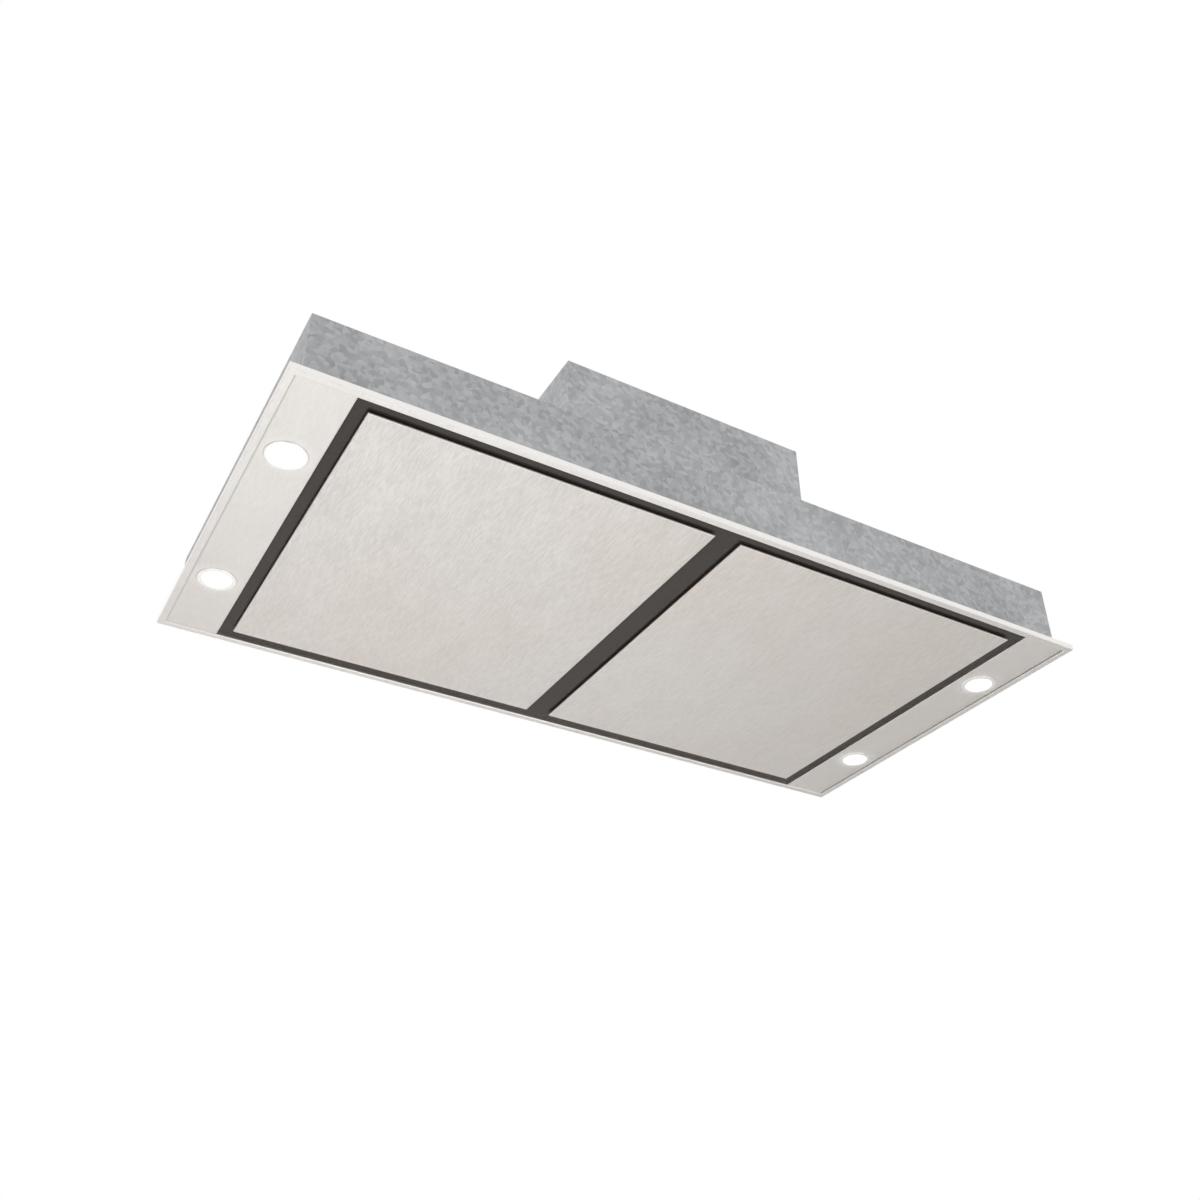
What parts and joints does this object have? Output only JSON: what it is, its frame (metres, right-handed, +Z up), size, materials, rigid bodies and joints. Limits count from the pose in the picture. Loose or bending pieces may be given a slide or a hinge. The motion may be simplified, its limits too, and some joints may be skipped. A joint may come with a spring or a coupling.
{
  "type": "ceiling range hood",
  "caption": "Flush ceiling range hood: brushed steel frame with end light strips and hinged perimeter-suction panels, over a housing with filters, blower and round duct collar.",
  "frame": {"origin": "middle of the ceiling plane, at the centre of the four fixing holes in the housing flange; the trim hangs below it and the housing stands above it", "axes": "+X along the long side to the right, +Y across the hood from the near to the far long side, +Z up into the ceiling"},
  "size_m": [1.2, 0.6, 0.3434],
  "materials": {
    "brushed_trim": "brushed along the short side",
    "brushed_panel": "brushed along the short side",
    "gloss_dark": "high gloss",
    "damping_board": "matte",
    "galvanised_sheet": "zinc-coated, dull",
    "hinge_steel": "zinc-plated",
    "magnet": "nickel-plated",
    "filter_aluminium": "satin",
    "dark_plastic": "matte",
    "lamp_metal": "polished",
    "lamp_lens": "frosted, lit",
    "lamp_sink": "cast, satin",
    "blower_plastic": "matte",
    "motor_paint": "satin",
    "casing_plastic": "matte"
  },
  "bodies": {
    "hood": {"bezel_frame": "brushed_trim", "blower_box": "galvanised_sheet", "blower_lid": "galvanised_sheet", "cable_gland": "dark_plastic", "catch_magnets": "magnet", "channel_plate": "gloss_dark", "control_box": "casing_plastic", "damper_pin": "hinge_steel", "filter_frame_left_1": "filter_aluminium", "filter_frame_left_2": "filter_aluminium", "filter_frame_right_1": "filter_aluminium", "filter_frame_right_2": "filter_aluminium", "filter_mesh_left_1": "filter_aluminium", "filter_mesh_left_2": "filter_aluminium", "filter_mesh_right_1": "filter_aluminium", "filter_mesh_right_2": "filter_aluminium", "hanger_brackets": "galvanised_sheet", "hinge_brackets": "hinge_steel", "hinge_pins": "hinge_steel", "housing_body": "galvanised_sheet", "inlet_rings": "blower_plastic", "lamp_clips": "hinge_steel", "lamp_heat_sink_left_far": "lamp_sink", "lamp_heat_sink_left_near": "lamp_sink", "lamp_heat_sink_right_far": "lamp_sink", "lamp_heat_sink_right_near": "lamp_sink", "lamp_lens_left_far": "lamp_lens", "lamp_lens_left_near": "lamp_lens", "lamp_lens_right_far": "lamp_lens", "lamp_lens_right_near": "lamp_lens", "lamp_ring_left_far": "lamp_metal", "lamp_ring_left_near": "lamp_metal", "lamp_ring_right_far": "lamp_metal", "lamp_ring_right_near": "lamp_metal", "led_driver": "casing_plastic", "light_strip_left": "brushed_trim", "light_strip_right": "brushed_trim", "motor": "motor_paint", "motor_bracket": "galvanised_sheet", "outlet_collar": "dark_plastic", "partition_left": "galvanised_sheet", "partition_right": "galvanised_sheet", "screws": "hinge_steel", "scroll_housing": "blower_plastic"},
    "flap_left": {"damper_flap_left": "dark_plastic"},
    "flap_right": {"damper_flap_right": "dark_plastic"},
    "latch_left_1": {"filter_latch_left_1": "dark_plastic"},
    "latch_left_2": {"filter_latch_left_2": "dark_plastic"},
    "latch_right_1": {"filter_latch_right_1": "dark_plastic"},
    "latch_right_2": {"filter_latch_right_2": "dark_plastic"},
    "rotor": {"impeller": "blower_plastic", "motor_shaft": "hinge_steel"},
    "panel_left": {"panel_core_left": "damping_board", "panel_hinge_arms_left": "hinge_steel", "panel_skin_left": "brushed_panel", "panel_stiffeners_left": "galvanised_sheet"},
    "panel_right": {"panel_core_right": "damping_board", "panel_hinge_arms_right": "hinge_steel", "panel_skin_right": "brushed_panel", "panel_stiffeners_right": "galvanised_sheet"}
  },
  "joints": [
    {"name": "panel_left_hinge", "type": "hinge", "parent": "hood", "child": "panel_left", "pos_m": [0, 0.2755, 0.002], "axis": [1, 0, 0], "range_deg": [0, 90]},
    {"name": "panel_right_hinge", "type": "hinge", "parent": "hood", "child": "panel_right", "pos_m": [0, 0.2755, 0.002], "axis": [1, 0, 0], "range_deg": [0, 90]},
    {"name": "rotor_spin", "type": "hinge", "parent": "hood", "child": "rotor", "pos_m": [0, -0.07, 0.1864], "axis": [1, 0, 0], "continuous": true},
    {"name": "flap_left_swing", "type": "hinge", "parent": "hood", "child": "flap_left", "pos_m": [0, 0, 0.296], "axis": [0, 1, 0], "range_deg": [0, 80]},
    {"name": "flap_right_swing", "type": "hinge", "parent": "hood", "child": "flap_right", "pos_m": [0, 0, 0.296], "axis": [0, -1, 0], "range_deg": [0, 80]},
    {"name": "latch_left_1_slide", "type": "slide", "parent": "hood", "child": "latch_left_1", "axis": [0, 1, 0], "range_m": [0, 0.005], "stiffness_N_per_m": 200, "springref_m": -0.002},
    {"name": "latch_left_2_slide", "type": "slide", "parent": "hood", "child": "latch_left_2", "axis": [0, 1, 0], "range_m": [0, 0.005], "stiffness_N_per_m": 200, "springref_m": -0.002},
    {"name": "latch_right_1_slide", "type": "slide", "parent": "hood", "child": "latch_right_1", "axis": [0, 1, 0], "range_m": [0, 0.005], "stiffness_N_per_m": 200, "springref_m": -0.002},
    {"name": "latch_right_2_slide", "type": "slide", "parent": "hood", "child": "latch_right_2", "axis": [0, 1, 0], "range_m": [0, 0.005], "stiffness_N_per_m": 200, "springref_m": -0.002}
  ]
}
